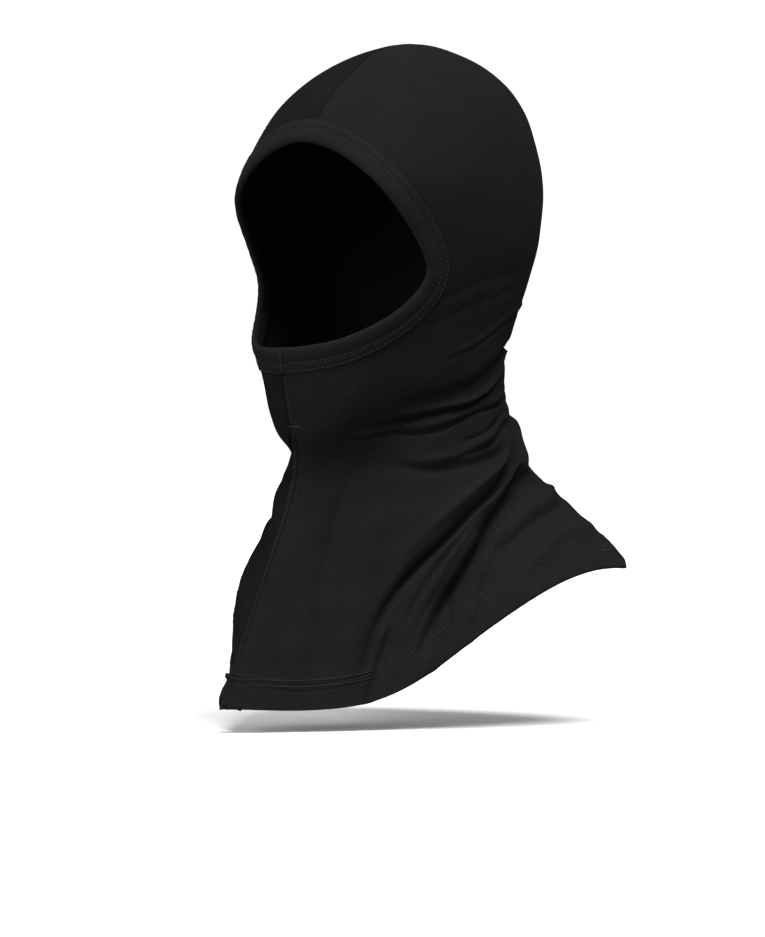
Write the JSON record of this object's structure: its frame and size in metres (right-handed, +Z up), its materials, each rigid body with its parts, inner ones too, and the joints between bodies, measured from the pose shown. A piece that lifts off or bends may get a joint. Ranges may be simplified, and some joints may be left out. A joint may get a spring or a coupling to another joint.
{
  "type": "balaclava",
  "caption": "Close-fitting knitted hood with an almond face opening, bound edge, long neck and a hemmed bib slit at the front.",
  "frame": {"origin": "the crown, where the top of the head bears", "axes": "+X to the wearer's left, -Y to the front, +Z up, from the hem to the crown"},
  "size_m": [0.2382, 0.2486, 0.3781],
  "materials": {
    "knit": "matt fine rib knit with a slight sheen",
    "binding_knit": "matt fine knit, cut along the grain",
    "thread": "twisted polyester thread",
    "label": "plain woven satin tape"
  },
  "bodies": {
    "hood": {"left_half_panel": "knit", "left_hem_lower_stitch": "thread", "left_hem_upper_stitch": "thread", "right_half_panel": "knit", "right_hem_lower_stitch": "thread", "right_hem_upper_stitch": "thread", "face_opening_binding": "binding_knit", "binding_inner_stitch": "thread", "binding_outer_stitch": "thread", "binding_lap": "binding_knit", "binding_joint_stitch": "thread", "crown_back_seam": "knit", "crown_back_seam_overlock": "thread", "front_seam": "knit", "front_seam_topstitch": "thread", "slit_bar_tack": "thread", "care_label": "label"},
    "left_flap": {"left_front_flap": "knit", "left_flap_hem_lower_stitch": "thread", "left_flap_hem_upper_stitch": "thread", "left_slit_edge_stitch": "thread"},
    "right_flap": {"right_front_flap": "knit", "right_flap_hem_lower_stitch": "thread", "right_flap_hem_upper_stitch": "thread", "right_slit_edge_stitch": "thread"}
  },
  "joints": [
    {"name": "left_flap_turn", "type": "hinge", "parent": "hood", "child": "left_flap", "pos_m": [0.00015, -0.10884, -0.22097], "axis": [-0.47, -0.3377, 0.8155], "range_deg": [0, 110]},
    {"name": "right_flap_turn", "type": "hinge", "parent": "hood", "child": "right_flap", "pos_m": [-0.00005, -0.11318, -0.22215], "axis": [-0.6045, 0.3381, -0.7212], "range_deg": [0, 88]}
  ],
  "couplings": [
    {"joint": "right_flap_turn", "follows": "left_flap_turn", "ratio": 0.8}
  ]
}
